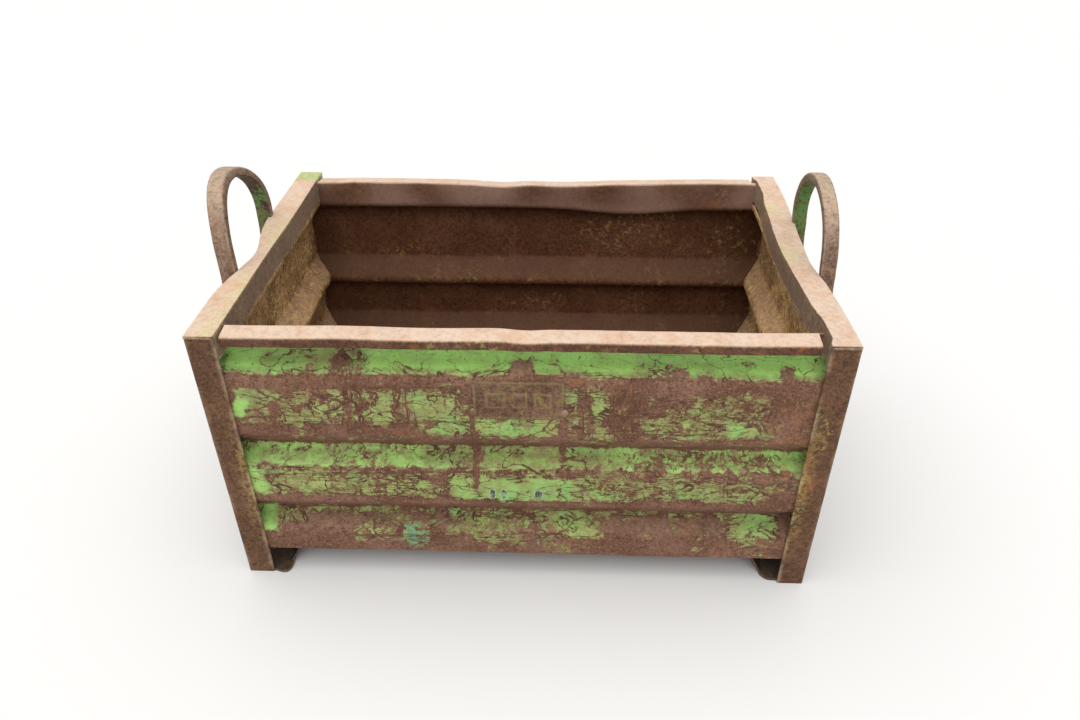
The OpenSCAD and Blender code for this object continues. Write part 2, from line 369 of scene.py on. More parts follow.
def makeRust(name, changes):
    s = {**plainRust, **changes}
    mat, tree, coords = startMaterial(name)
    colour, height, fine = rustLayer(coords, s)
    if s["paint"] > 0.0:
        share = attributeOf(tree, "paint") * s["paint"]
        cover = spread(share - grain(coords, 30.0, 7.0, 0.7, 0.6) + 0.36, 0.34, 0.36)
        cover = cover * spread(grain(coords, 150.0, 4.0, 0.7), 0.64, 0.48)
        patchy = blendColour(spread(grain(coords, 40.0), 0.4, 0.6), s["paintA"], s["paintB"])
        colour = blendColour(cover, colour, patchy)
    finishShader(tree, colour, height, spread(fine, 0.3, 0.7, 0.92, 0.66), s["bump"], 0.0012, s["gloss"])
    return mat


def paintDamage(coords, left, fresh, drips):
    # cracks, scratches and streaks: what they take off the paint, and how dark their middles are
    worn = limited(1.0 - fresh)
    cracks = cracksAt(coords, (0.75, 0.75, 1.5), 24.0, 0.050)
    finer = cracksAt(coords, (0.7, 0.7, 2.0), 55.0, 0.065)
    crackArea = spread(grain(coords, 9.0, 4.0, 0.55), 0.42, 0.58)
    across = spread(stretchedGrain(coords, (5.0, 5.0, 150.0), 4.0, 0.6, 0.6), 0.59, 0.62)
    down = stretchedGrain(coords, (140.0, 140.0, 7.0), 5.0, 0.65, 0.5)
    lines = contour(stretchedGrain(coords, (14.0, 14.0, 34.0), 4.0, 0.55, 0.8), 0.48, 0.018)
    hair = contour(stretchedGrain(coords, (38.0, 38.0, 80.0), 4.0, 0.6, 0.8), 0.53, 0.020)
    hair = hair * 0.6 * spread(fresh, 0.10, 0.45, 1.0, 0.0)
    strokes = contour(stretchedGrain(coords, (62.0, 62.0, 14.0), 3.0, 0.5, 0.9), 0.50, 0.035)
    strokes = strokes * worn * spread(drips, 0.35, 0.75)
    lines = larger(larger(lines, hair * spread(crackArea, 0.8, 0.2)), strokes)
    lost = cracks * (crackArea * 0.45) + finer * ((1.0 - crackArea) * 0.25) + across * 0.28
    lost = lost * worn + lines * (0.80 - fresh * 0.50) + spread(down, 0.52, 0.60) * drips * 0.85
    core = limited(limited(cracks * crackArea + finer * 0.6) + across * 0.6)
    core = core * worn * spread(left, 0.15, 0.55, 0.0, 0.45)
    faint = 1.0 - spread(fresh, 0.5, 1.0) * 0.65
    core = larger(core, lines * faint * spread(left, 0.15, 0.55, 0.0, 0.68))
    return lost, core, down


def paintColour(coords, small, left, fresh, drips):
    # bright, yellowed, dull and stained paint with small specks
    t = rustTones
    tone = spread(grain(coords, 13.0, 6.0, 0.68, 0.6), 0.36, 0.60) * (1.0 - fresh * 0.75)
    paint = blendColour(tone, t["green"], t["yellowGreen"])
    # fresh paint turns a brighter green, raised further as painted light against the lip's shade on the band
    paint = blendColour(spread(fresh, 0.45, 0.95, 0.0, 0.9), paint, t["brightGreenWithPaintedLight"])
    dull = spread(grain(coords, 34.0, 6.0, 0.72, 0.4), 0.42, 0.64, 0.0, 0.95) * (1.0 - fresh * 0.72)
    paint = blendColour(dull, paint, t["olive"])
    thin = limited(limited(1.12 - left) * 1.35)
    stain = thin * spread(grain(coords, 24.0, 6.0, 0.7, 0.5), 0.36, 0.60, 0.15, 0.95)
    paint = blendColour(stain, paint, t["stained"])
    wash = spread(stretchedGrain(coords, (70.0, 70.0, 9.0), 4.0, 0.6), 0.42, 0.66, 0.0, 0.85)
    paint = blendColour(wash * spread(drips, 0.05, 0.7), paint, t["rosy"])
    tealSpots = attributeOf(coords.tree, "teal") * spread(grain(coords, 60.0, 5.0, 0.7), 0.38, 0.50)
    paint = blendColour(tealSpots, paint, t["teal"])
    specks = spread(grain(coords, 300.0, 3.0, 0.6), 0.64, 0.68, 0.0, 0.85)
    paint = blendColour(specks, paint, t["deep"])
    dings = spread(grain(coords, 105.0, 4.0, 0.6, 0.8), 0.655, 0.68, 0.0, 0.85)
    paint = blendColour(dings, paint, t["brown"])
    return blendColour(spread(small, 0.52, 0.36, 0.0, 0.30), paint, t["scuffed"])


def makePaintedSheet(name, changes):
    # green paint over rust; the point attributes say where it is left, fresh, stained or run with rust
    t = rustTones
    mat, tree, coords = startMaterial(name)
    rust, rustHeight, fine = rustLayer(coords, {**plainRust, **changes})
    left = attributeOf(tree, "paint")
    drips = attributeOf(tree, "drips")
    fresh = attributeOf(tree, "fresh")
    mark = attributeOf(tree, "mark")
    small = grain(coords, 130.0, 6.0, 0.72, 0.5)
    field = spread(grain(coords, 30.0, 9.0, 0.70, 0.7) * 0.67 + small * 0.33, 0.36, 0.64)
    lost, core, down = paintDamage(coords, left, fresh, drips)
    margin = left - lost - field
    cover = spread(margin, -0.025, 0.020)
    halo = limited(spread(margin, -0.13, -0.02) - cover)
    haloTone = blendColour(fresh, t["oldRim"], t["freshRim"])
    rust = blendColour(halo * spread(small, 0.42, 0.56, 0.15, 0.85), rust, haloTone)
    runTone = blendColour(spread(down, 0.56, 0.66), t["brown"], t["orange"])
    rust = blendColour(spread(drips, 0.3, 0.9) * 0.55, rust, runTone)
    colour = blendColour(cover, rust, paintColour(coords, small, left, fresh, drips))
    colour = blendColour(core, colour, t["deep"])
    around = spread(mark, 0.02, 0.30) * spread(small, 0.62, 0.48)
    colour = blendColour(around * 0.8, colour, t["palePaint"])
    middle = spread(mark, 0.35, 0.65) * spread(small, 0.60, 0.46)
    colour = blendColour(middle * 0.9, colour, t["darkPaint"])
    height = cover * 0.9 + rustHeight * (1.0 - cover * 0.75)
    rough = limited(0.86 - cover * 0.34 + (fine - 0.5) * 0.25)
    finishShader(tree, colour, height, rough, plainRust["bump"], 0.0010, plainRust["gloss"])
    return mat


paintedOutside = makePaintedSheet("paint_over_rust", {
    "dustAndLightAmount": 0.30, "fleckAmount": 0.25, "dustAndLightStart": 0.6, "dustAndLightColour": (0.40, 0.27, 0.19)})
# dark inside rust; its band highlight colour is painted light on the band below the rim
rustInside = makeRust("rust_inside", {
    "dark": (0.110, 0.044, 0.021), "light": (0.165, 0.075, 0.040), "dustAndLightAmount": 0.92, "dustAndLightStart": 0.10,
    "dustAndLightMottle": 0.8, "bandHighlightColour": (0.36, 0.225, 0.170), "edgeAmount": 0.85, "gloss": 0.08,
    "dustAndLightColour": (0.125, 0.066, 0.042), "dustAndLightAlt": (0.15, 0.080, 0.044), "fleckAmount": 0.9,
    "fleckStart": 0.50, "fleckColour": (0.30, 0.21, 0.08), "orangeAmount": 0.25, "bump": 0.9})
# ochre flaking rust, its tones raised well above their own as painted light on the shaded insides of the end
# walls
flakingInsideWithPaintedLight = makeRust("flaking_inside_with_painted_light", {
    "dark": (0.30, 0.160, 0.075), "light": (0.74, 0.47, 0.22), "dustAndLightAmount": 0.85, "dustAndLightStart": 0.25,
    "grainScale": 170.0, "dustAndLightMottle": 0.78, "dustAndLightColour": (0.50, 0.300, 0.190),
    "dustAndLightAlt": (0.56, 0.38, 0.18), "fleckAmount": 1.0, "fleckStart": 0.22, "gloss": 0.1,
    "fleckColour": (0.95, 0.70, 0.25), "orangeAmount": 0.55, "bump": 1.0})
rustPost = makeRust("rust_post", {
    "dark": (0.100, 0.044, 0.024), "light": (0.158, 0.075, 0.044), "fleckAmount": 0.7, "fleckStart": 0.55,
    "fleckColour": (0.36, 0.28, 0.085), "fleckHere": True, "edges": True, "edgeAmount": 0.5,
    "dustAndLightAmount": 0.5, "orangeAmount": 0.45, "bump": 0.8})
rustRail = makeRust("rail_rubbed_and_painted_light", {
    "dark": (0.185, 0.105, 0.060), "light": (0.29, 0.180, 0.105), "dustAndLightAmount": 0.98, "dustAndLightStart": 0.55,
    "dustAndLightMottle": 0.74, "dustAndLightColour": (0.68, 0.515, 0.395), "dustAndLightTint": 0.60, "dustAndLightAlt": (0.62, 0.38, 0.24),
    "fleckAmount": 0.6, "orangeAmount": 0.3, "fleckHere": True, "fleckColour": (0.48, 0.40, 0.12),
    "edges": True, "edgeAmount": 0.8, "bump": 0.55, "paint": 0.60, "paintA": (0.42, 0.42, 0.15),
    "paintB": (0.33, 0.50, 0.18)})
rustLoop = makeRust("rust_loop", {
    "dark": (0.20, 0.120, 0.080), "light": (0.32, 0.215, 0.150), "dustAndLightAmount": 0.7, "dustAndLightStart": 0.2,
    "dustAndLightColour": (0.54, 0.42, 0.31), "fleckAmount": 0.5, "orangeAmount": 0.2, "edges": True,
    "edgeAmount": 0.55})
greenLoop = makeRust("worn_green_loop", {
    "dark": (0.075, 0.045, 0.030), "light": (0.13, 0.080, 0.055), "dustAndLightAmount": 0.3, "fleckAmount": 0.3,
    "orangeAmount": 0.2, "paint": 0.62, "paintA": (0.16, 0.17, 0.055), "paintB": (0.11, 0.245, 0.065)})
rustFoot = makeRust("rust_foot", {
    "dark": (0.085, 0.045, 0.028), "light": (0.150, 0.085, 0.055), "dustAndLightAmount": 0.2, "fleckAmount": 0.3,
    "bump": 0.8})
# painted shade: near-black for the inside of the foot cups and the top of the soles, where shade falls
paintedShadeFoot = makeRust("foot_painted_shade", {
    "dark": (0.018, 0.010, 0.006), "light": (0.034, 0.020, 0.012), "dustAndLightAmount": 0.1, "fleckAmount": 0.2,
    "bump": 0.8})
rustPlate = makeRust("rust_plate", {
    "dark": (0.125, 0.064, 0.038), "light": (0.205, 0.116, 0.074), "dustAndLightAmount": 0.2, "fleckAmount": 0.8,
    "fleckStart": 0.44, "fleckColour": (0.27, 0.24, 0.065), "bump": 0.9, "edges": True, "edgeAmount": 0.6,
    "dustAndLightColour": (0.27, 0.225, 0.090), "dustAndLightAlt": (0.24, 0.23, 0.065)})
rustWeld = makeRust("rust_weld", {
    "dark": (0.16, 0.090, 0.060), "light": (0.28, 0.18, 0.12), "dustAndLightAmount": 0.75, "grainScale": 420.0,
    "bump": 0.9})
print("finishes ready")


# mesh helpers

def hills(value, middle, width):
    return math.exp(-((value - middle) / width) ** 2)


def wave(x, y, z, scale, seed=0.0):
    return noise.noise(Vector((x * scale + seed, y * scale - seed * 0.7, z * scale + seed * 0.3)))


def softStep(value, low, high):
    t = min(1.0, max(0.0, (value - low) / (high - low)))
    return t * t * (3.0 - 2.0 * t)


def addPiece(name, points, faces, materials, slots=None, stands=(), sharp=35.0):
    mesh = bpy.data.meshes.new(name)
    mesh.from_pydata([tuple(p) for p in points], [], faces)
    for m in materials:
        mesh.materials.append(m)
    if slots is not None:
        mesh.polygons.foreach_set("material_index", slots)
    mesh.polygons.foreach_set("use_smooth", [True] * len(mesh.polygons))
    mesh.set_sharp_from_angle(angle=math.radians(sharp))
    mesh.update()
    obj = bpy.data.objects.new(name, mesh)
    bpy.context.scene.collection.objects.link(obj)
    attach(obj, "root")
    if stands:
        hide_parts(*stands)
    bm = bmesh.new()
    bm.from_mesh(mesh)
    bmesh.ops.recalc_face_normals(bm, faces=bm.faces)    # every face looks outwards
    bm.to_mesh(mesh)
    bm.free()
    return obj


def gridShell(outer, inner, closed=False):
    # outer and inner are rows of points on the two faces of a sheet
    rows = len(outer)
    cols = len(outer[0])
    points = [p for row in outer for p in row] + [p for row in inner for p in row]
    shift = rows * cols
    faces = []
    slots = []
    wrap = cols if closed else cols - 1
    for i in range(rows - 1):
        for j in range(wrap):
            a = i * cols + j
            b = i * cols + (j + 1) % cols
            faces.append((a, b, b + cols, a + cols))
            slots.append(0)
            faces.append((shift + a + cols, shift + b + cols, shift + b, shift + a))
            slots.append(1)
    for j in range(wrap):
        b = (j + 1) % cols
        top = (rows - 1) * cols
        faces.append((shift + j, shift + b, b, j))
        faces.append((top + j, top + b, shift + top + b, shift + top + j))
        slots += [0, 0]
    if not closed:
        for i in range(rows - 1):
            a = i * cols
            z = i * cols + cols - 1
            faces.append((a, a + cols, shift + a + cols, shift + a))
            faces.append((shift + z, shift + z + cols, z + cols, z))
            slots += [0, 0]
    return points, faces, slots


def ringFaces(rings, count):
    # the sides of a tube that is made of closed rings of points
    faces = []
    for i in range(rings - 1):
        for j in range(count):
            a = i * count + j
            b = i * count + (j + 1) % count
            faces.append((a, b, b + count, a + count))
    return faces


def tubeFaces(rings, count):
    # sides and both ends
    last = (rings - 1) * count
    return ringFaces(rings, count) + [tuple(range(count - 1, -1, -1)), tuple(range(last, last + count))]


def sweepOutline(outline, rings, place):
    # outline is a closed list of (u, v); place(t, u, v) puts a point of ring t in the frame
    points = [place(t, u, v) for t in rings for (u, v) in outline]
    return points, tubeFaces(len(rings), len(outline))


def setPointValues(obj, values):
    # numbers for every point, by name, which the finishes read
    for name, numbers in values.items():
        layer = obj.data.attributes.new(name, "FLOAT", "POINT")
        layer.data.foreach_set("value", numbers)


def setOuterValues(obj, values):
    # the inner points of a sheet come after the outer ones and stay at zero
    setPointValues(obj, {name: numbers + [0.0] * len(numbers) for name, numbers in values.items()})


def valuesAlong(outline, rings, rule):
    return [rule(t, u, v) for t in rings for (u, v) in outline]


def arcPoints(cx, cy, radius, start, end, count):
    angles = [math.radians(start + (end - start) * k / count) for k in range(count + 1)]
    return [(cx + radius * math.cos(a), cy + radius * math.sin(a)) for a in angles]


def evenly(low, high, step):
    count = max(2, int(round((high - low) / step)) + 1)
    return [low + (high - low) * i / (count - 1) for i in range(count)]


# wall sheets

wallSheet = {
    "thickness": 3.0, "face": 6.5, "foot": 57.0, "grooveDepth": 42.0,
    "grooves": [125.0, 270.0], "below": 19.0, "above": 48.0,
    "bandBottom": 450.0, "step": 14.0, "bandDepth": 43.5,
    "rimTop": 503.5, "rimEdge": 10.5, "rimFall": 4.5, "rimLip": 14.0,
    "railLeg": 463.0,            # where the rail begins
    "rimGaps": (4.0, 9.0),       # from the folded rim to the rails, left and right
    "lipWave": 0.7,
    "grid": 4.2,                 # between rows of points
    "bends": {"groove": 12.0, "mouth": 10.0, "band": 14.0, "rim": 4.5},
    "endBends": {"groove": 17.0, "mouth": 14.0, "band": 12.0, "rim": 4.5},
}


def wallCorners(s, rimmed):
    f = s["face"]
    b = s["bends"] if rimmed else s["endBends"]
    corners = [(f, s["foot"])]
    bends = []
    for g in s["grooves"]:
        corners += [(f, g - s["below"]), (f + s["grooveDepth"], g), (f, g + s["above"])]
        bends += [b["mouth"], b["groove"], b["mouth"]]
    corners += [(f, s["bandBottom"] - s["step"]), (s["bandDepth"], s["bandBottom"])]
    bends += [b["band"], b["band"]]
    if rimmed:
        corners += [(s["bandDepth"], s["rimTop"]), (s["rimEdge"], s["rimTop"] - s["rimFall"]),
                    (s["rimEdge"], s["rimTop"] - s["rimFall"] - s["rimLip"])]
        bends += [b["rim"], b["rim"]]
    else:
        corners.append((s["bandDepth"], s["railLeg"]))
    return corners, bends


def roundedPath(corners, bends, step):
    # points along the middle of the sheet with the direction of its outer face
    out = []
    heads = []
    for a, b in zip(corners, corners[1:]):
        d = Vector((b[0] - a[0], b[1] - a[1]))
        heads.append(d.normalized())
    cuts = [0.0]
    for i, radius in enumerate(bends):
        turn = heads[i].angle(heads[i + 1])
        cuts.append(radius * math.tan(turn / 2))
    cuts.append(0.0)
    for i, h in enumerate(heads):
        start = Vector(corners[i]) + h * cuts[i]
        end = Vector(corners[i + 1]) - h * cuts[i + 1]
        length = (end - start).length
        count = max(1, int(round(length / step)))
        side = Vector((-h[1], h[0]))
        for k in range(count + 1):
            out.append((start + (end - start) * k / count, side))
        if i < len(bends):
            nxt = heads[i + 1]
            cross = h[0] * nxt[1] - h[1] * nxt[0]
            sign = 1.0 if cross > 0 else -1.0
            turn = h.angle(nxt)
            centre = end + side * (sign * bends[i])
            arm = end - centre
            flats = max(3, int(turn / 0.22))
            for k in range(1, flats):
                a = sign * turn * k / flats
                ca = math.cos(a)
                sa = math.sin(a)
                p = centre + Vector((arm[0] * ca - arm[1] * sa, arm[0] * sa + arm[1] * ca))
                n = Vector((side[0] * ca - side[1] * sa, side[0] * sa + side[1] * ca))
                out.append((p, n))
    return out


def patchValue(x, z, patches, base):
    value = base
    for (x0, x1, z0, z1, share, soft) in patches:
        half = soft * 0.5
        inX = softStep(x, x0 - soft, x0 + soft) * (1 - softStep(x, x1 - soft, x1 + soft))
        inZ = softStep(z, z0 - half, z0 + half) * (1 - softStep(z, z1 - half, z1 + half))
        value += (share - value) * inX * inZ
    return value


# each patch: along the wall from, to; up the wall from, to; share; how soft its edge is
frontPaint = {
    "base": 0.04,
    "left": [
        (-480, 480, 436, 486, 0.97, 4), (-455, -300, 470, 486, 0.80, 20), (-290, -245, 434, 486, 0.62, 12),
        (-330, -300, 436, 452, 0.72, 10), (-410, -350, 442, 462, 0.84, 14),
        (-480, -446, 462, 480, 0.25, 8), (-40, 330, 474, 486, 0.62, 14), (120, 300, 470, 482, 0.55, 20),
        (-12, 16, 430, 447, 0.10, 4), (390, 414, 432, 445, 0.20, 6), (170, 330, 436, 444, 0.60, 14),
        (60, 110, 436, 442, 0.5, 9),
        (-452, -84, 338, 410, 0.52, 12),
        (-454, -430, 352, 392, 0.97, 6), (-430, -415, 362, 384, 0.70, 8), (-405, -330, 342, 402, 0.62, 20),
        (-340, -282, 344, 412, 0.64, 22),
        (-276, -256, 318, 436, 0.50, 9), (-250, -190, 342, 418, 0.72, 26), (-188, -168, 336, 414, 0.62, 10),
        (-164, -84, 322, 422, 0.78, 24), (-112, -84, 330, 362, 0.95, 12), (-132, -104, 402, 424, 0.50, 8),
        (-84, 74, 318, 362, 0.86, 8), (-70, 60, 318, 334, 0.70, 10),
        (74, 146, 322, 424, 0.78, 20), (98, 114, 322, 400, 0.58, 6), (142, 184, 320, 420, 0.44, 10),
        (184, 395, 320, 412, 0.46, 14), (184, 250, 322, 400, 0.58, 20), (250, 300, 322, 376, 0.76, 18),
        (300, 395, 324, 378, 0.72, 18), (384, 402, 330, 368, 0.40, 8),
        (-490, 490, 250, 316, 1.04, 5), (-430, -350, 252, 266, 0.86, 12), (-340, -220, 256, 300, 0.80, 20),
        (-120, -60, 252, 262, 0.76, 10), (90, 170, 252, 262, 0.72, 14), (180, 400, 252, 268, 0.70, 20),
        (-490, 490, 240, 251, 0.62, 4),
        (-478, -424, 186, 246, 0.95, 9), (-424, -320, 188, 240, 0.86, 14), (-320, -200, 188, 240, 0.80, 16),
        (-200, -150, 186, 238, 0.84, 14), (-150, -120, 186, 214, 0.50, 9), (-120, -10, 182, 240, 0.97, 12),
        (-10, 90, 182, 238, 0.95, 14), (90, 180, 184, 240, 0.84, 12), (180, 250, 190, 236, 0.76, 14),
        (250, 330, 192, 240, 0.86, 14), (330, 400, 190, 234, 0.78, 14), (400, 450, 196, 238, 0.55, 12),
        (-490, -432, 98, 174, 0.97, 8), (-430, -380, 108, 174, 0.68, 12), (-380, 120, 118, 174, 0.72, 12),
        (-130, 110, 98, 122, 0.80, 16), (-130, 130, 90, 112, 0.52, 18), (60, 130, 96, 120, 0.88, 14),
        (120, 330, 118, 174, 0.55, 16), (150, 330, 104, 120, 0.30, 18), (356, 436, 98, 174, 0.93, 14),
        (372, 418, 80, 104, 0.72, 14), (-290, -140, 80, 116, 0.58, 16), (-212, -158, 66, 108, 0.78, 10),
        (-90, 60, 78, 100, 0.50, 16), (-60, 180, 62, 80, 0.36, 20), (400, 445, 58, 92, 0.48, 12),
        (290, 350, 66, 90, 0.20, 12),
        # the first two: the bend at the top of each groove worn to rust, and bare rust down its
        # downward-facing flank as painted shadow
        (-490, 490, 275, 322, 0.22, 4), (-490, 490, 131, 178, 0.18, 4), (-490, 490, 244, 252, 0.50, 3),
    ],
    "fresh": [
        (-480, 480, 440, 486, 0.97, 5), (-470, -300, 470, 486, 0.55, 20), (-400, -240, 436, 470, 0.60, 20),
        (180, 340, 440, 486, 0.72, 20), (-454, -430, 352, 396, 0.85, 9), (-164, -84, 322, 420, 0.15, 10),
        (-490, 490, 251, 312, 0.84, 4), (-160, 150, 251, 300, 0.35, 20), (-474, -430, 190, 246, 0.80, 10),
        (-110, 80, 186, 236, 0.50, 14),
        (-490, -440, 98, 174, 0.85, 9), (365, 430, 104, 174, 0.50, 14),
    ],
    "drips": [
        (-284, -244, 320, 472, 1.0, 7), (-330, -282, 352, 436, 0.40, 10), (-204, -158, 322, 420, 0.95, 9),
        (-490, 490, 251, 300, 0.40, 5), (-300, -200, 251, 290, 0.75, 20), (190, 400, 251, 290, 0.85, 24),
        (90, 112, 322, 420, 0.65, 6), (140, 190, 320, 430, 0.75, 8), (-140, -90, 350, 420, 0.30, 10),
        (-490, 490, 176, 250, 0.12, 5),
    ],
    "teal": [(-215, -158, 64, 110, 1.0, 8), (-250, -215, 60, 80, 0.5, 8)],
    "wander": 15.0,                                                # how far a patch's edge strays
    "runs": [(-76.0, 4.6, 196.0), (66.0, 4.4, 238.0), (-34.0, 2.2, 330.0), (20.0, 1.8, 340.0)],
    "marks": [(-50.0, 5.0), (-31.0, 5.0), (27.0, 6.5)],            # worn dabs: middle and half width
    "markHeights": (188.0, 208.0),
}

wallWear = {
    "seeds": {"front": 3.1, "back": 17.7, "left": 31.3, "right": 43.9},
    # each dent: along, up, half widths along and up, depth inwards
    "dents": {
        "front": [(10.0, 440.0, 40.0, 18.0, 2.5), (-240.0, 360.0, 70.0, 30.0, -2.0),
                  (250.0, 380.0, 60.0, 30.0, 2.5), (330.0, 215.0, 60.0, 20.0, 2.0),
                  (-320.0, 210.0, 60.0, 20.0, -1.5), (60.0, 90.0, 90.0, 20.0, 2.0)],
        "back": [(194.0, 455.0, 90.0, 22.0, -7.0), (-120.0, 380.0, 120.0, 50.0, 3.0),
                 (120.0, 350.0, 110.0, 40.0, -3.0), (-260.0, 220.0, 80.0, 30.0, 2.5)],
        "left": [(-90.0, 380.0, 60.0, 40.0, -4.0), (110.0, 290.0, 60.0, 24.0, 3.0),
                 (180.0, 150.0, 60.0, 30.0, 3.0)],
        "right": [(-60.0, 400.0, 110.0, 50.0, 4.0), (80.0, 300.0, 60.0, 24.0, -3.0),
                  (-150.0, 150.0, 60.0, 30.0, 3.0)],
    },
    # each dip of a rim: along, half width, height
    "dips": {"front": [(8.0, 26.0, -2.6), (60.0, 60.0, -1.0)],
             "back": [(-75.0, 55.0, -5.0), (60.0, 70.0, -3.5)], "left": [], "right": []},
    "backRise": 5.0,                     # the back rim climbs towards the right
    "sag": 15.0,                         # the back band hangs down over its dent
    "sagAt": (194.0, 452.0),
    "sagReach": (105.0, 26.0),
    "tornWaves": (7.0, 3.0),             # crumpled far part of the left wall
    "rightBow": 7.6,                     # the right wall's top is pushed in
    "footWave": 0.9,
}


def wallShift(kind, along, height, s):
    # dents and waves of a wall, in millimetres: inwards, up
    a = along * mm
    h = height * mm
    seed = s["seeds"][kind]
    inward = 1.3 * wave(a, 0.0, h, 6.0, seed) + 0.5 * wave(a, 0.0, h, 22.0, seed + 5)
    up = 1.1 * wave(a, h, 0.0, 4.5, seed + 9) + 0.35 * wave(a, h, 0.3, 30.0, seed + 2)
    for (x0, z0, wx, wz, deep) in s["dents"][kind]:
        inward += deep * hills(along, x0, wx) * hills(height, z0, wz)
    top = softStep(height, 470.0, 500.0)
    for (x0, wx, lift) in s["dips"][kind]:
        up += top * lift * hills(along, x0, wx)
    if kind == "front":
        up += 1.2 * top * wave(a, 0.2, 0.0, 9.0, 71.0)
        inward += 1.6 * top * wave(a, 0.5, 0.0, 7.0, 51.0)
    if kind == "back":
        up += top * (2.2 * wave(a, 0.2, 0.0, 5.0, 61.0) + 0.8 * wave(a, 0.7, 0.0, 17.0, 12.0))
        up += top * s["backRise"] * softStep(along, 120.0, 450.0)
        (x0, z0), (wx, wz) = s["sagAt"], s["sagReach"]
        up -= s["sag"] * hills(along, x0, wx) * hills(height, z0, wz)
        inward += 1.8 * top * wave(a, 0.5, 0.0, 6.0, 57.0)
    if kind == "left":
        torn = softStep(along, 215.0, 300.0) * softStep(height, 120.0, 200.0)
        torn *= 1.0 - softStep(height, 400.0, 450.0)
        big, small = s["tornWaves"]
        inward += torn * (big * wave(a, 0.0, h, 28.0, 91.0) + small * wave(a, 0.0, h, 75.0, 92.0))
    if kind in ("left", "right"):
        inward *= 1.0 - 0.8 * softStep(height, 435.0, 460.0)    # calmer behind the rail
    if kind == "right":
        inward += softStep(height, 330.0, 463.0) * s["rightBow"] * hills(along, -20.0, 150.0)
    up += s["footWave"] * (1.0 - softStep(height, 57.0, 70.0)) * wave(a, 0.0, 0.0, 40.0, seed + 4)
    return inward, up


def wallPlace(kind, along, depth, height):
    far = 1.0 if kind in ("back", "right") else -1.0
    if kind in ("front", "back"):
        return (along * mm, far * (halfDepth - depth * mm), height * mm)
    return (far * (halfLength - depth * mm), along * mm, height * mm)


def makeWall(kind, step, inside):
    s = wallSheet
    rimmed = kind in ("front", "back")
    corners, bends = wallCorners(s, rimmed)
    path = roundedPath(corners, bends, s["grid"])
    halfT = s["thickness"] / 2
    reach = (halfLength - postThickness) / mm
    inner = (halfLength - railWidth) / mm
    folds = s["bandDepth"] - 3.0                                # the folded rim lies further out than this
    lipFoot = s["rimTop"] - s["rimFall"] - s["rimLip"] - 1.0
    columns = evenly(0.0, 1.0, step / (2 * (halfLength if rimmed else halfDepth) / mm))
    outerRows = []
    innerRows = []
    facts = []
    for index, ((depth, height), (outwards, upwards)) in enumerate(path):
        if not rimmed:
            high = halfDepth / mm - depth - halfT * 0.5
            low = -high
        elif depth < folds and height > lipFoot:
            low = -inner + s["rimGaps"][0]
            high = inner - s["rimGaps"][1]
        else:
            high = inner if height > s["railLeg"] else reach
            low = -high
        rowOut = []
        rowIn = []
        for u in columns:
            along = low + (high - low) * u
            inward, up = wallShift(kind, along, height, wallWear)
            d = depth + inward
            h = height + up
            if rimmed and index > len(path) - 3:
                h += s["lipWave"] * wave(along * mm, 0.0, 0.0, 60.0, 8.0)
            rowOut.append(wallPlace(kind, along, d + outwards * halfT, h + upwards * halfT))
            rowIn.append(wallPlace(kind, along, d - outwards * halfT, h - upwards * halfT))
            facts.append((along, height, depth))
        outerRows.append(rowOut)
        innerRows.append(rowIn)
    points, faces, slots = gridShell(outerRows, innerRows)
    wide = len(columns) - 1
    # the folded rim: the rail finish on its top, pale with dust and painted light from above, and the post
    # finish on its lip
    if rimmed:
        for i in range(len(path) - 1):
            (depth, height), (outwards, upwards) = path[i]
            if height > 480.0 and (upwards < -0.35 or depth < folds):
                for j in range(wide):
                    slots[(i * wide + j) * 2 + 1] = 3 if outwards > 0.8 else 2
    else:
        border = (len(path) - 1) * wide * 2
        for j in range(wide):
            slots[border + 2 * j + 1] = 1    # the top edge, seen from inside
    node = kind + "_wall"
    materials = [paintedOutside, inside, rustRail, rustPost]
    obj = addPiece(node + "_sheet", points, faces, materials, slots, (node,),
                   50.0)
    return obj, facts


def paintInsideBandHighlight(obj, facts, seed):
    # painted highlight: the band below the rim is painted lighter than the rest of the inside, where it
    # catches the light
    deep = wallSheet["bandDepth"]
    rub = []
    for (x, z, depth) in facts:
        band = softStep(z, 446.0, 460.0) * softStep(wave(x * mm, 0.0, z * mm, 11.0, seed), -1.0, 0.4)
        rub.append(band * softStep(depth, deep - 4.0, deep - 2.0))
    setPointValues(obj, {"edge": [0.0] * len(rub) + rub})


def paintFront(obj, facts, s):
    values = {"paint": [], "fresh": [], "drips": [], "teal": [], "mark": []}
    markMiddle = sum(s["markHeights"]) / 2
    markHalf = (s["markHeights"][1] - s["markHeights"][0]) / 2
    for (x, z, depth) in facts:
        a = x * mm
        h = z * mm
        run = 0.0
        for (mid, width, low) in s["runs"]:
            stray = 3.0 * wave(0.0, 0.0, h, 22.0, mid) + 1.4 * wave(0.0, 0.0, h, 70.0, mid)
            part = hills(x, mid + stray, width) * (1 - softStep(z, 372.0, 380.0))
            run = max(run, part * softStep(z, low, low + 24.0))
        sx = x + s["wander"] * (wave(a, 0.0, h, 26.0, 2.0) + 0.6 * wave(a, 0.0, h, 75.0, 6.0))
        calm = 1.0 - 0.7 * softStep(z, 424.0, 434.0)
        sz = z + calm * s["wander"] * (0.16 * wave(a, 0.0, h, 30.0, 9.0) + 0.24 * wave(a, 0.0, h, 95.0, 12.0))
        dab = 0.0
        for (place, width) in s["marks"]:
            far = math.hypot((x - place) / width, (z - markMiddle) / markHalf)
            dab = max(dab, 1.0 - softStep(far, 0.8, 1.2))
        values["paint"].append(patchValue(sx, sz, s["left"], s["base"]) * (1 - 0.85 * run))
        values["fresh"].append(patchValue(sx, sz, s["fresh"], 0.0) * (1 - 0.5 * run))
        values["drips"].append(min(1.0, patchValue(sx, z, s["drips"], 0.04) + 0.7 * run))
        values["teal"].append(patchValue(sx, sz, s["teal"], 0.0))
        values["mark"].append(dab)
    setOuterValues(obj, values)


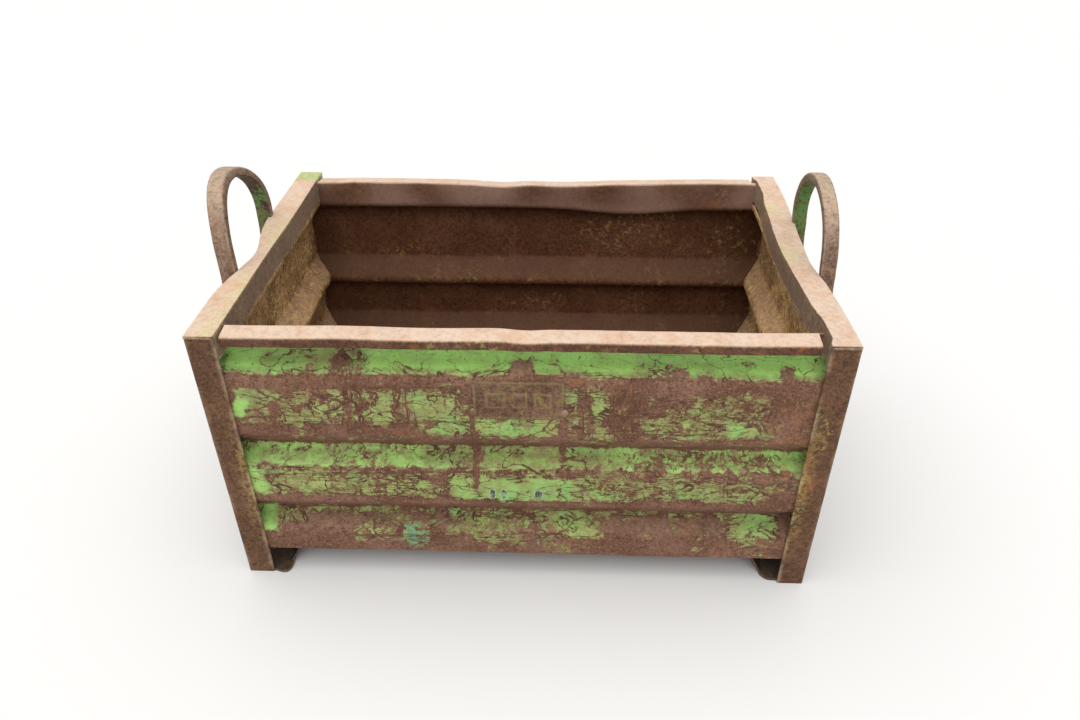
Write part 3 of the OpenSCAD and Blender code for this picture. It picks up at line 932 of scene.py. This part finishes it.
def paintPlain(obj, facts, seed, share):
    # the other walls: paint kept in the grooves and worn on the raised bands
    values = {"paint": [], "fresh": [], "drips": []}
    for (x, z, depth) in facts:
        a = x * mm
        h = z * mm
        sheltered = depth > 12.0
        kept = 0.92 if sheltered else share
        kept += 0.75 * wave(a, 0.0, h, 7.0, seed) + 0.35 * wave(a, 0.0, h, 24.0, seed)
        fresh = (0.75 if sheltered else 0.2) + 0.6 * wave(a, 0.0, h, 9.0, seed + 7)
        values["paint"].append(max(0.02, min(0.98, kept)))
        values["fresh"].append(max(0.0, min(0.9, fresh)))
        values["drips"].append(max(0.0, min(1.0, 0.1 + 1.3 * wave(a, 0.0, 0.0, 11.0, seed + 3))))
    setOuterValues(obj, values)


frontWall, frontFacts = makeWall("front", 4.0, rustInside)
paintFront(frontWall, frontFacts, frontPaint)
paintInsideBandHighlight(frontWall, frontFacts, 8.0)
backWall, backFacts = makeWall("back", 6.0, rustInside)
paintPlain(backWall, backFacts, 5.0, 0.45)
paintInsideBandHighlight(backWall, backFacts, 8.0)
for (kind, seed) in (("left", 11.0), ("right", 23.0)):
    endWall, endFacts = makeWall(kind, 6.0, flakingInsideWithPaintedLight)
    paintPlain(endWall, endFacts, seed, 0.40)
print("walls ready")


# floor plate

floorSettings = {"step": 14.0, "wave": 1.6, "flatEdge": 60.0}


def makeFloor(s):
    low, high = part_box("floor_plate")
    thick = high[2] - low[2]
    top = []
    under = []
    for y in evenly(low[1], high[1], s["step"] * mm):
        rowTop = []
        rowUnder = []
        for x in evenly(low[0], high[0], s["step"] * mm):
            edge = min(x - low[0], high[0] - x, y - low[1], high[1] - y)
            lift = s["wave"] * mm * wave(x, y, 0.0, 5.0, 2.0) * softStep(edge, 0.0, s["flatEdge"] * mm)
            rowTop.append((x, y, low[2] + thick + lift))
            rowUnder.append((x, y, low[2] + lift))
        top.append(rowTop)
        under.append(rowUnder)
    points, faces, slots = gridShell(top, under)
    addPiece("floor_sheet", points, faces, [rustInside, rustFoot], slots, ("floor_plate",))


makeFloor(floorSettings)


# corner posts

postSettings = {"leg": 45.0, "thickness": 5.0, "heel": 2.0, "toe": 2.2, "step": 5.0, "rough": 0.5, "bow": 1.2,
                "nick": 0.9, "edgeWidth": 2.5, "fleckMiddle": 0.22, "fleckReach": 0.11}


def angleOutline(legA, legB, thick, heel, toe, step=6.0):
    # outline of an angle section, heel at the origin
    pts = []
    pts += [(u, 0.0) for u in evenly(heel + 1.0, legA - 1.2, step)]
    pts += arcPoints(legA - 0.8, 0.8, 0.8, -90, 0, 2)
    pts += arcPoints(legA - toe, thick - toe, toe, 0, 90, 4)[0 if thick - toe > 1.0 else 1:]
    pts += [(u, thick) for u in reversed(evenly(thick + 2.0, legA - toe - 1.5, step))]
    pts += [(thick + 0.6, thick + 0.1), (thick + 0.1, thick + 0.6)]
    pts += [(thick, v) for v in evenly(thick + 2.0, legB - toe - 1.5, step)]
    pts += arcPoints(thick - toe, legB - toe, toe, 0, 90, 4)
    pts += arcPoints(0.8, legB - 0.8, 0.8, 90, 180, 2)
    pts += [(0.0, v) for v in reversed(evenly(heel + 1.0, legB - 1.2, step))]
    pts += arcPoints(heel, heel, heel, 180, 270, 3)
    return pts


def makePost(name, right, back, s):
    outline = angleOutline(s["leg"], s["leg"], s["thickness"], s["heel"], s["toe"])
    sx = 1.0 if right else -1.0
    sy = 1.0 if back else -1.0
    seed = 5.0 * right + 11.0 * back

    def place(z, u, v):
        rough = s["rough"] * wave(u * mm * 3, v * mm * 3, z, 34.0, seed)
        bow = s["bow"] * math.sin(math.pi * z / postTop) * wave(seed, 0.0, z, 2.0, seed)
        nick = 0.0
        if max(u, v) > s["leg"] - 4.0:
            nick = -s["nick"] * max(0.0, wave(0.0, 0.0, z, 60.0, seed + 7) - 0.25)
        x = u + (nick if u > v else 0.0) + bow * 0.25
        y = v + (nick if v > u else 0.0) + 0.25 * rough
        if v > 0.5 * s["thickness"] and u < s["thickness"] + 1:
            x += rough
        return (sx * (halfLength - x * mm), sy * (halfDepth - y * mm), z)

    def edgeWear(z, u, v):
        wide = s["edgeWidth"]
        corner = max(hills(u, s["leg"], wide), hills(v, s["leg"], wide), hills(max(u, v), 0.0, wide))
        return corner * softStep(wave(u * mm, v * mm, z, 26.0, seed + 2), -0.35, 0.25)

    def fleckShare(z, u, v):
        band = hills(z, s["fleckMiddle"], s["fleckReach"]) * softStep(max(u, v), 20.0, 38.0)
        return min(1.0, 0.85 * band + 0.12)

    rings = evenly(0.0, postTop, s["step"] * mm)
    points, faces = sweepOutline(outline, rings, place)
    obj = addPiece(name + "_angle", points, faces, [rustPost], None, (name,), 40.0)
    setPointValues(obj, {"edge": valuesAlong(outline, rings, edgeWear),
                         "flecks": valuesAlong(outline, rings, fleckShare)})


for (right, back, corner) in postCorners:
    makePost("post_" + corner, right, back, postSettings)
print("posts ready")


# end rails

railSettings = {
    "leg": 45.0, "thickness": 5.0, "heel": 2.5, "toe": 2.0, "step": 5.0, "innerRub": 0.28, "wallGap": 5.3,
    # each dent: where its middle is along the rail, half width, depth
    "rightBow": (-20.0, 150.0, 11.0), "rightDent": (-65.0, 45.0, 4.0), "rightEnds": 6.0, "rightDrop": 2.0,
    "leftDent": (-35.0, 62.0, 15.0), "leftDrop": 9.0, "leftSide": (-115.0, 50.0, 0.35),
    "leftLeg": (120.0, 90.0, 1.5),
    "flecks": {False: 0.95, True: 0.75},
    "paint": {False: (0.235, 0.30, 1.0), True: (0.05, 0.3, 0.25)},    # starts, is full, how much
}


def railShape(right, y, depth, height, s):
    # shift inwards and up of a point of the rail, in millimetres; depth 0 is the outer edge
    outer = 1.0 - depth / s["leg"]
    inner = 1.0 - outer
    a = y * mm
    d = depth * mm
    inward = 0.8 * wave(0.0, a, d, 9.0, 3.0 + right) + 0.4 * wave(0.0, a, d, 45.0, 9.0)
    up = 0.6 * wave(0.0, a, d, 12.0, 13.0 + right)
    if right:
        middle, wide, deep = s["rightBow"]
        bow = hills(y, middle, wide)
        inward += deep * bow * (1.0 - 0.25 * (1.0 - softStep(height, 460.0, 500.0)))
        middle, wide, deep = s["rightDent"]
        inward += deep * outer * hills(y, middle, wide)
        ends = softStep(abs(y + 10.0), 190.0, 255.0) * (1.0 - softStep(abs(y), 300.0, 318.0))
        inward -= s["rightEnds"] * inner * ends
        up -= s["rightDrop"] * bow * outer
    else:
        middle, wide, deep = s["leftDent"]
        sideMiddle, sideWide, sideShare = s["leftSide"]
        dent = hills(y, middle, wide) + sideShare * hills(y, sideMiddle, sideWide)
        inward += deep * outer * dent
        up -= s["leftDrop"] * outer * outer * dent
        up += 1.2 * outer * wave(0.0, a, 0.0, 16.0, 33.0)
        middle, wide, deep = s["leftLeg"]
        inward += deep * inner * hills(y, middle, wide)
    return inward, up


def makeRail(name, right, s):
    sx = 1.0 if right else -1.0
    top = railTop / mm
    outline = [(s["leg"] - u, top - v) for (u, v) in
               angleOutline(s["leg"], s["leg"], s["thickness"], s["heel"], s["toe"], 4.5)]

    def place(y, depth, height):
        inward, up = railShape(right, y / mm, depth, height, s)
        if depth < 1.5:
            inward += 0.5 * wave(0.0, y, height * mm, 110.0, 5.0)
        if height < top - s["thickness"] - 0.5:
            inside = halfDepth - s["wallGap"] * mm      # the upright leg ends between the long walls
            y = max(-inside, min(inside, y))
        return (sx * (halfLength - (depth + inward) * mm), y, (height + up) * mm)

    # pale worn edges along the outer top edge and the foot of the leg, which also stand in for painted
    # highlights; the inner leg a little lighter
    def edgeWear(y, depth, height):
        corner = max(hills(depth, 0.0, 2.0), hills(height, top - s["leg"], 2.0))
        corner *= softStep(wave(0.0, y, 0.0, 30.0, 3.0), -0.4, 0.2)
        inside = softStep(depth, s["leg"] - 2.0, s["leg"]) * (1.0 - softStep(height, top - 5.0, top))
        return max(corner, s["innerRub"] * inside)

    def fleckShare(y, depth, height):
        share = softStep(height, top - 8.0, top - 2.0) * softStep(depth, 2.0, 40.0)
        return s["flecks"][right] * share * softStep(wave(0.0, y, 0.0, 8.0, 21.0 + right), -0.3, 0.3)

    def paintShare(y, depth, height):
        start, full, amount = s["paint"][right]
        return amount * softStep(y, start, full)

    rings = evenly(-halfDepth, halfDepth, s["step"] * mm)
    points, faces = sweepOutline(outline, rings, place)
    obj = addPiece(name + "_angle", points, faces, [rustRail], None, (name,), 40.0)
    setPointValues(obj, {"edge": valuesAlong(outline, rings, edgeWear),
                         "flecks": valuesAlong(outline, rings, fleckShare),
                         "paint": valuesAlong(outline, rings, paintShare)})


makeRail("rail_left", False, railSettings)
makeRail("rail_right", True, railSettings)
print("rails ready")


# foot cups and soles

footSettings = {
    "low": 75.0, "high": 104.0, "centre": 30.0, "opening": 22.0, "cup": 4.0, "sole": 5.0, "top": 57.0,
    "post": 5.0, "corner": 20.0, "rough": 0.5,
    "soleRings": [(0.0, 0.965), (0.8, 0.99), (2.5, 1.0), (4.3, 0.995), (5.0, 0.97)],    # height, size
    "bentOut": 9.0, "bentAlong": 6.0,                                # the pulled corner of one sole
}


def cornerPoint(right, back, u, v, z):
    sx = 1.0 if right else -1.0
    sy = 1.0 if back else -1.0
    return (sx * (halfLength - u * mm), sy * (halfDepth - v * mm), z * mm)


def cupPath(width, s):
    c = s["centre"]
    pts = [(width, v) for v in evenly(s["opening"], c, 2.5)][:-1]
    pts += arcPoints(c, c, width - c, 0, 90, 22)
    pts += [(u, width) for u in reversed(evenly(s["opening"], c, 2.5))][1:]
    return pts


def makeCup(name, right, back, s):
    rows = {0.0: [], s["cup"]: []}      # the outer and the inner face
    seed = 3.0 * right + 7.0 * back + 1.0
    for z in evenly(s["sole"], s["top"], 4.0):
        width = s["low"] + (s["high"] - s["low"]) * (z - s["sole"]) / (s["top"] - s["sole"])
        rough = [s["rough"] * wave(u * mm, v * mm, z * mm, 40.0, seed) for (u, v) in cupPath(width, s)]
        for sunk, face in rows.items():
            path = cupPath(width - sunk, s)
            face.append([cornerPoint(right, back, u + r, v + r, z) for (u, v), r in zip(path, rough)])
    points, faces, slots = gridShell(*rows.values())
    # the inner face of the cup takes the near-black painted shade
    addPiece(name + "_plate", points, faces, [rustFoot, paintedShadeFoot], slots, (name,), 40.0)


def soleOutline(s):
    w = s["low"]
    p = s["post"]
    c = s["corner"]
    r = w - s["centre"]
    pts = [(u, p) for u in evenly(p, w - c, 5.0)][:-1]
    pts += arcPoints(w - c, p + c, c, -90, 0, 8)
    pts += arcPoints(s["centre"], s["centre"], r, 0, 90, 14)
    pts += arcPoints(p + c, w - c, c, 90, 180, 8)
    pts += [(p, v) for v in reversed(evenly(p, w - c, 5.0))][1:-1]
    return pts


def makeSole(name, right, back, s, bent):
    outline = soleOutline(s)
    count = len(outline)
    mid = s["low"] * 0.45
    points = []
    for (z, scale) in s["soleRings"]:
        for (u, v) in outline:
            uu = mid + (u - mid) * scale
            vv = mid + (v - mid) * scale
            if bent:
                pull = hills(uu, 63.0, 20.0) * (1.0 - softStep(vv, 5.0, 34.0))
                vv -= s["bentOut"] * pull
                uu += s["bentAlong"] * pull
            points.append(cornerPoint(right, back, uu, vv, z))
    faces = ringFaces(len(s["soleRings"]), count)
    faces.append(tuple(range(count)))
    faces.append(tuple(reversed(range(len(points) - count, len(points)))))
    # the top of the sole, inside the cup, takes the near-black painted shade
    slots = [0] * (len(faces) - 1) + [1]
    addPiece(name + "_plate", points, faces, [rustFoot, paintedShadeFoot], slots, (name,), 40.0)


for (right, back, corner) in postCorners:
    makeCup("foot_cup_" + corner, right, back, footSettings)
    makeSole("foot_sole_" + corner, right, back, footSettings, not right and not back)
print("feet ready")


# lifting loops

loopSettings = {
    "outer": 112.0, "thick": 16.0, "round": 3.2, "step": 4.0, "settled": 0.96, "rough": 0.45,
    "paintFrom": 0.42, "paintFull": 0.55,      # as shares of the bar's length
    # lean at the crest, how it grows on the way up, and shift at the rail, along x
    "left": {"width": 28.0, "lean": -22.0, "growth": 2.8, "shift": 6.0, "paint": 0.80},
    "right": {"width": 25.0, "lean": -6.0, "growth": 0.6, "shift": -9.0, "paint": 0.95},
}


def roundedBar(thick, width, radius):
    a = thick / 2 - radius
    b = width / 2 - radius
    pts = arcPoints(a, -b, radius, -90, 0, 3) + arcPoints(a, b, radius, 0, 90, 3)
    pts += arcPoints(-a, b, radius, 90, 180, 3) + arcPoints(-a, -b, radius, 180, 270, 3)
    return pts


def makeLoop(name, right, s):
    low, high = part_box(name)
    top = railTop / mm
    radius = s["outer"] - s["thick"] / 2
    centre = high[2] / mm - s["outer"]
    bottom = low[2] / mm
    straight = centre - bottom
    arc = math.pi * radius
    total = 2 * straight + arc
    own = s["right" if right else "left"]
    axis = (halfLength / mm + own["width"] / 2) * (1.0 if right else -1.0)
    seed = 40.0 + 9.0 * right

    def place(t, u, v):
        # t runs along the bar, u is across it in the plane of the loop, v is along x
        a = math.pi - min(max(t - straight, 0.0), arc) / radius
        y = radius * math.cos(a)
        z = centre + radius * math.sin(a) - max(straight - t, 0.0, t - straight - arc)
        rough = s["rough"] * wave(t * mm, u * mm * 2, v * mm * 2, 30.0, seed)
        y += math.cos(a) * (u + rough * 0.5)
        z += math.sin(a) * (u + rough * 0.5)
        y += 1.2 * wave(0.0, t * mm, 0.0, 7.0, seed + 3)
        above = max(0.0, z - top)
        rise = above / (centre + s["outer"] - top)
        x = axis + v + rough * 0.6 + own["lean"] * rise ** own["growth"]
        x += 1.5 * rise * wave(0.0, t * mm, 0.0, 5.0, seed) + own["shift"] * softStep(z, bottom, top)
        return (x * mm, y * mm, (z - above * (1.0 - s["settled"])) * mm)

    def edgeWear(t, u, v):
        corner = softStep(abs(u), s["thick"] / 2 - 3.0, s["thick"] / 2 - 1.0)
        corner *= softStep(abs(v), own["width"] / 2 - 3.4, own["width"] / 2 - 1.4)
        return corner * softStep(wave(t * mm, u * mm, v * mm, 20.0, seed), -0.3, 0.3)

    def paintShare(t, u, v):
        return own["paint"] * softStep(t, total * s["paintFrom"], total * s["paintFull"])

    outline = roundedBar(s["thick"], own["width"], s["round"])
    rings = evenly(0.0, total, s["step"])
    points, faces = sweepOutline(outline, rings, place)
    across = [(a[0] + b[0]) / 2 for a, b in zip(outline, outline[1:] + outline[:1])]
    slots = [1 if u < -s["thick"] * 0.4 else 0 for u in across] * (len(rings) - 1) + [0, 0]
    obj = addPiece(name + "_bar", points, faces, [rustLoop, greenLoop], slots, (name,), 50.0)
    setPointValues(obj, {"edge": valuesAlong(outline, rings, edgeWear),
                         "paint": valuesAlong(outline, rings, paintShare)})


makeLoop("loop_left", False, loopSettings)
makeLoop("loop_right", True, loopSettings)


# welds

weldSettings = {
    "lump": 0.35, "ripple": 0.12, "around": 10,
    "loopLeg": 104.0,                                                   # from the middle to each leg
    "beside": {"across": 7.5, "inwards": 2.4, "tall": 32.0, "radius": 2.6},
    "over": {"across": 8.0, "inwards": 0.4, "up": 0.3, "radius": 3.2},
    "under": {"across": 7.0, "inwards": 1.5, "up": -6.5, "radius": 2.8},
    "rail": {"outer": 1.5, "inner": 1.0, "side": 0.3, "radius": 1.9},
    "wall": {"heights": (0.090, 0.205, 0.345, 0.415), "half": 20.0, "inwards": 8.6, "radius": 3.0},
}


def beadMesh(start, end, radius, seed, s):
    a = Vector(start)
    b = Vector(end)
    length = (b - a).length
    ahead = (b - a).normalized()
    side = ahead.orthogonal().normalized()
    other = ahead.cross(side)
    rings = max(6, int(length / (1.6 * mm)))
    points = []
    for i in range(rings + 1):
        t = i / rings
        taper = min(1.0, math.sin(math.pi * min(max(t, 0.02), 0.98)) * 4.0)
        ripple = 1.0 + s["lump"] * wave(t * length, 0.0, 0.0, 240.0, seed)
        ripple += s["ripple"] * math.sin(t * length * 1500.0)
        r = radius * mm * taper * ripple
        c = a + ahead * (length * t)
        for k in range(s["around"]):
            g = 2 * math.pi * k / s["around"]
            points.append(tuple(c + side * (r * math.cos(g)) + other * (r * math.sin(g))))
    return points, tubeFaces(rings + 1, s["around"])


def joinMeshes(parts):
    points = []
    faces = []
    for (p, f) in parts:
        shift = len(points)
        points += p
        faces += [tuple(i + shift for i in face) for face in f]
    return points, faces


def makeLoopWelds(name, right, s):
    sx = 1.0 if right else -1.0
    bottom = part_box(name)[0][2]
    parts = []
    for side in (-1.0, 1.0):
        y = side * s["loopLeg"] * mm
        b = s["beside"]
        x = sx * halfLength - sx * b["inwards"] * mm
        for edge in (-1.0, 1.0):
            start = (x, y + edge * b["across"] * mm, bottom)
            end = (x, y + edge * b["across"] * mm, bottom + b["tall"] * mm)
            parts.append(beadMesh(start, end, b["radius"], 3.0 + side + edge, s))
        for (b, seed) in ((s["over"], 7.0), (s["under"], 9.0)):
            x = sx * halfLength - sx * b["inwards"] * mm
            z = railTop + b["up"] * mm
            start = (x, y - b["across"] * mm, z)
            parts.append(beadMesh(start, (x, y + b["across"] * mm, z), b["radius"], seed + side, s))
    points, faces = joinMeshes(parts)
    addPiece(name + "_beads", points, faces, [rustWeld], None, (name,), 60.0)


def makeRailWelds(s):
    parts = []
    rail = s["rail"]
    wall = s["wall"]
    half = wall["half"] * mm
    for sx in (-1.0, 1.0):
        for sy in (-1.0, 1.0):
            xa = sx * (halfLength - rail["outer"] * mm)
            xb = sx * (halfLength - railWidth + rail["inner"] * mm)
            y = sy * (halfDepth - rail["side"] * mm)
            parts.append(beadMesh((xa, y, postTop), (xb, y, postTop), rail["radius"], 20.0 + sx + 2 * sy, s))
            x = sx * (halfLength - wall["inwards"] * mm)
            y = sy * (halfDepth - wall["inwards"] * mm)
            for z in wall["heights"]:
                seed = 31.0 * z + sx + sy
                parts.append(beadMesh((x, y, z - half), (x, y, z + half), wall["radius"], seed, s))
    points, faces = joinMeshes(parts)
    addPiece("frame_beads", points, faces, [rustWeld], None, (), 60.0)


makeLoopWelds("loop_welds_left", False, weldSettings)
makeLoopWelds("loop_welds_right", True, weldSettings)
makeRailWelds(weldSettings)
print("loops and welds ready")


# name plate, left blank

plateSettings = {"border": 5.0, "raise": 0.9, "step": 1.5, "sink": 0.9, "behind": 0.6, "bend": 0.14,
                 "panels": [(-36.0, 15.0), (2.0, 11.0), (38.0, 13.0)], "panelHeight": 14.0}    # middle, half


def makePlate(s):
    low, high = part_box("name_plate")
    midX = (low[0] + high[0]) / 2
    midZ = (low[2] + high[2]) / 2
    front = []
    rear = []
    raised = []
    for z in evenly(low[2], high[2], s["step"] * mm):
        rowF = []
        rowR = []
        for x in evenly(low[0], high[0], s["step"] * mm):
            edge = min(x - low[0], high[0] - x, z - low[2], high[2] - z) / mm
            rise = s["raise"] * (1.0 - softStep(edge, s["border"] - 1.5, s["border"]))
            rise *= softStep(edge, -0.2, 1.2)
            rub = 0.8 * rise
            for (px, half) in s["panels"]:
                dx = abs((x - midX) / mm - px) - half
                line = max(dx, abs((z - midZ) / mm) - s["panelHeight"])
                rise = max(rise, s["raise"] * (1.0 - softStep(line, -1.6, 0.4)))
                rub = max(rub, 0.9 * (1.0 - softStep(abs(line + 1.0), 0.8, 2.4)))
            raised.append(min(1.0, rub))
            rise += 0.35 * wave(x, 0.0, z, 60.0, 4.0) + 0.2 * wave(x, 0.0, z, 190.0, 8.0)
            rise += s["bend"] * wave(x, 0.0, z, 12.0, 15.0)
            rowF.append((x, low[1] + (s["sink"] - rise) * mm, z))
            rowR.append((x, high[1] + s["behind"] * mm, z))
        front.append(rowF)
        rear.append(rowR)
    points, faces, slots = gridShell(front, rear)
    obj = addPiece("name_plate_blank", points, faces, [rustPlate, rustPlate], slots, ("name_plate",),
                   60.0)
    setOuterValues(obj, {"edge": raised})


tackSettings = {"rings": 9, "around": 22, "lump": 0.16, "sink": 0.6, "tip": 0.25}


def makeTacks(s):
    low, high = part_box("plate_tacks")
    middle = (low[2] + high[2]) / 2
    radius = (high[2] - low[2]) / 2
    back = high[1] + s["sink"] * mm
    tall = back - low[1]
    parts = []
    for x0 in (low[0] + radius, high[0] - radius):
        points = []
        for i in range(s["rings"] + 1):
            g = (math.pi / 2) * i / s["rings"]
            for k in range(s["around"]):
                a = 2 * math.pi * k / s["around"]
                lumpy = 1.0 + s["lump"] * wave(math.cos(a), math.sin(a), g, 1.6, x0 * 90)
                r = radius * math.cos(g) * lumpy if i < s["rings"] else s["tip"] * mm
                y = back - tall * math.sin(g) * (1.0 - 0.08 * lumpy)
                points.append((x0 + r * math.cos(a), y, middle + r * math.sin(a)))
        parts.append((points, tubeFaces(s["rings"] + 1, s["around"])))
    points, faces = joinMeshes(parts)
    addPiece("plate_tack_heads", points, faces, [rustWeld], None, ("plate_tacks",), 60.0)


makePlate(plateSettings)
makeTacks(tackSettings)
print("name plate ready")
